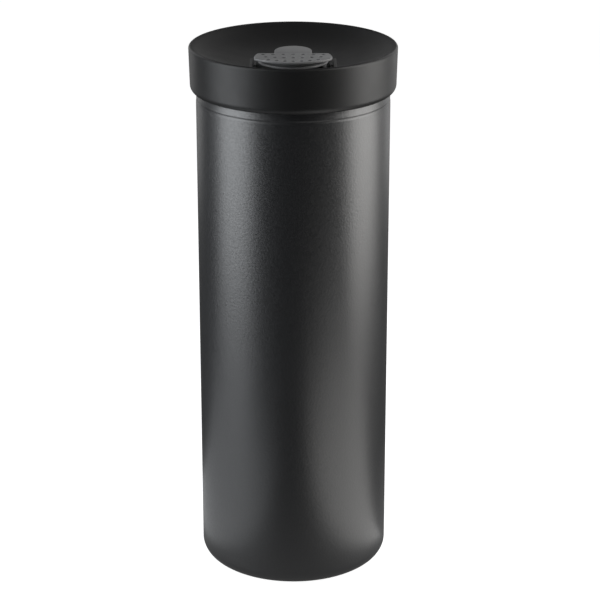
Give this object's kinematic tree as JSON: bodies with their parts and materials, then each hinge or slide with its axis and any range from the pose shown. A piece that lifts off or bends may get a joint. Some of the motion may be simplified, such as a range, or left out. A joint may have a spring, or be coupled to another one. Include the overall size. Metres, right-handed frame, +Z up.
{
  "type": "insulated travel tumbler",
  "caption": "Tall double-wall steel drinks tumbler with a screw-in dished lid and a rocker lever over the drink hole.",
  "frame": {"origin": "centre of the base, on the surface that the tumbler stands on", "axes": "+Z up along the cup's axis; the drink hole and the lever's grip plate are on the -Y side; +X to the right seen from the front"},
  "size_m": [0.0802, 0.0802, 0.2145],
  "materials": {
    "coated_steel": "fine orange-peel powder coat, dark grey, satin",
    "bare_steel": "bare stainless steel, fine turned grain",
    "solder_glass": "dull grey solder glass",
    "getter_metal": "dull sintered metal",
    "foil": "bright thin foil",
    "silicone": "soft matt silicone",
    "insert_plastic": "moulded plastic, satin",
    "lid_plastic": "moulded plastic, satin",
    "lever_plastic": "moulded plastic, satin, a little lighter than the lid",
    "foam": "light closed-cell foam"
  },
  "bodies": {
    "cup": {"outer_shell": "coated_steel", "base_cap": "bare_steel", "vacuum_base": "bare_steel", "vacuum_seal": "solder_glass", "getter": "getter_metal", "getter_clip": "bare_steel", "liner_floor": "bare_steel", "inner_liner": "bare_steel", "insulation_foil": "foil"},
    "gasket": {"lid_gasket": "silicone"},
    "lid": {"lid_insert": "insert_plastic", "plug_floor": "insert_plastic", "lid_insulation": "foam", "cover_seal": "silicone", "tube_seals": "silicone", "lid_cover": "lid_plastic", "hinge_pin": "bare_steel"},
    "lever": {"flip_lever": "lever_plastic", "sip_stopper": "silicone", "vent_stopper": "silicone"}
  },
  "joints": [
    {"name": "lid_rise", "type": "slide", "parent": "cup", "child": "gasket", "axis": [0, 0, 1], "range_m": [0, 0.016]},
    {"name": "lid_turn", "type": "hinge", "parent": "gasket", "child": "lid", "pos_m": [0, 0, 0.2], "axis": [0, 0, 1], "range_deg": [0, 720]},
    {"name": "lever_rock", "type": "hinge", "parent": "lid", "child": "lever", "pos_m": [0, -0.018, 0.20805], "axis": [-1, 0, 0], "range_deg": [0, 40]}
  ],
  "couplings": [
    {"joint": "lid_rise", "follows": "lid_turn", "m_per_rad": 0.0012732}
  ]
}
